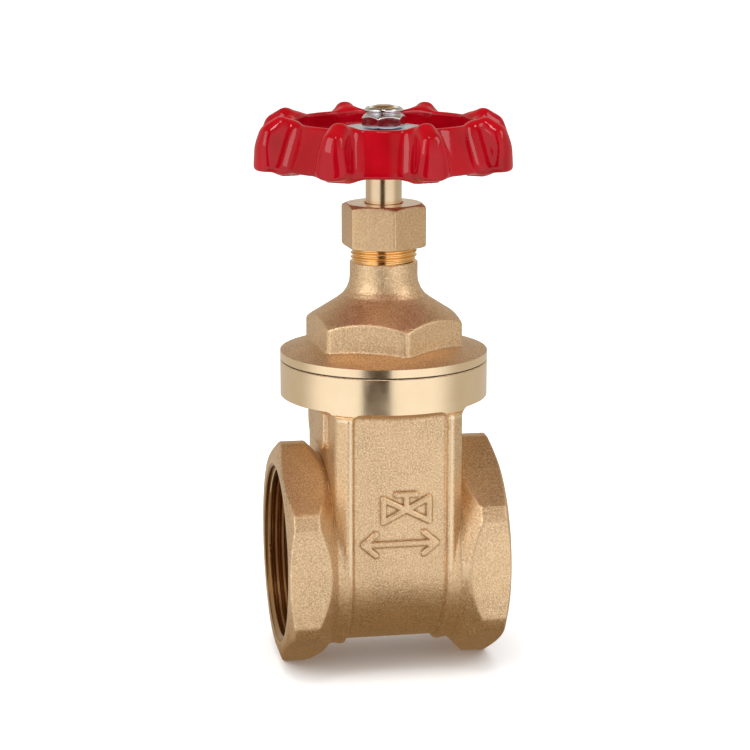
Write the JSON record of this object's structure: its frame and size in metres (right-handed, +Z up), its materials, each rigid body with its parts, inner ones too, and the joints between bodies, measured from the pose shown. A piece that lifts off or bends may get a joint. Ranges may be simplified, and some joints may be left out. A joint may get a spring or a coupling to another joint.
{
  "type": "gate valve",
  "caption": "Brass wedge gate valve with female pipe threads, a screwed hexagon bonnet, a gland nut and a red lobed handwheel whose non-rising stem lifts the wedge.",
  "frame": {"origin": "where the pipe axis crosses the stem axis", "axes": "+X along the pipe axis towards the outlet, +Z up the stem towards the handwheel, -Y the front panel that carries the raised signs"},
  "size_m": [0.0894, 0.0894, 0.1886],
  "materials": {
    "cast_brass": "bead-blasted casting, matte",
    "bonnet_brass": "bead-blasted casting, matte, with a turned rim",
    "nut_brass": "bead-blasted hexagon, satin",
    "turned_brass": "turned, satin",
    "stem_brass": "turned and polished",
    "wedge_brass": "cast, with ground faces",
    "red_paint": "gloss enamel",
    "aluminium_disc": "satin, plain",
    "zinc_steel": "bright zinc plate",
    "nylon": "natural nylon",
    "ptfe": "waxy white",
    "gasket_fibre": "pressed fibre"
  },
  "bodies": {
    "body": {"valve_body": "cast_brass", "bonnet_gasket": "gasket_fibre", "bonnet": "bonnet_brass", "stem_retainer": "turned_brass", "lower_thrust_washer": "ptfe", "upper_thrust_washer": "ptfe", "packing_washer": "turned_brass", "packing_ring_1": "ptfe", "packing_ring_2": "ptfe", "packing_ring_3": "ptfe", "packing_ring_4": "ptfe", "packing_ring_5": "ptfe", "gland": "turned_brass", "gland_nut": "nut_brass"},
    "stem": {"stem": "stem_brass", "handwheel": "red_paint", "name_disc": "aluminium_disc", "lock_nut": "zinc_steel", "nylon_insert": "nylon"},
    "wedge": {"wedge": "wedge_brass"}
  },
  "joints": [
    {"name": "stem_turn", "type": "hinge", "parent": "body", "child": "stem", "pos_m": [0, 0, 0], "axis": [0, 0, 1], "range_deg": [0, 4248]},
    {"name": "wedge_slide", "type": "slide", "parent": "body", "child": "wedge", "axis": [0, 0, 1], "range_m": [0, 0.0472]}
  ],
  "couplings": [
    {"joint": "wedge_slide", "follows": "stem_turn", "m_per_rad": 0.00063662}
  ]
}
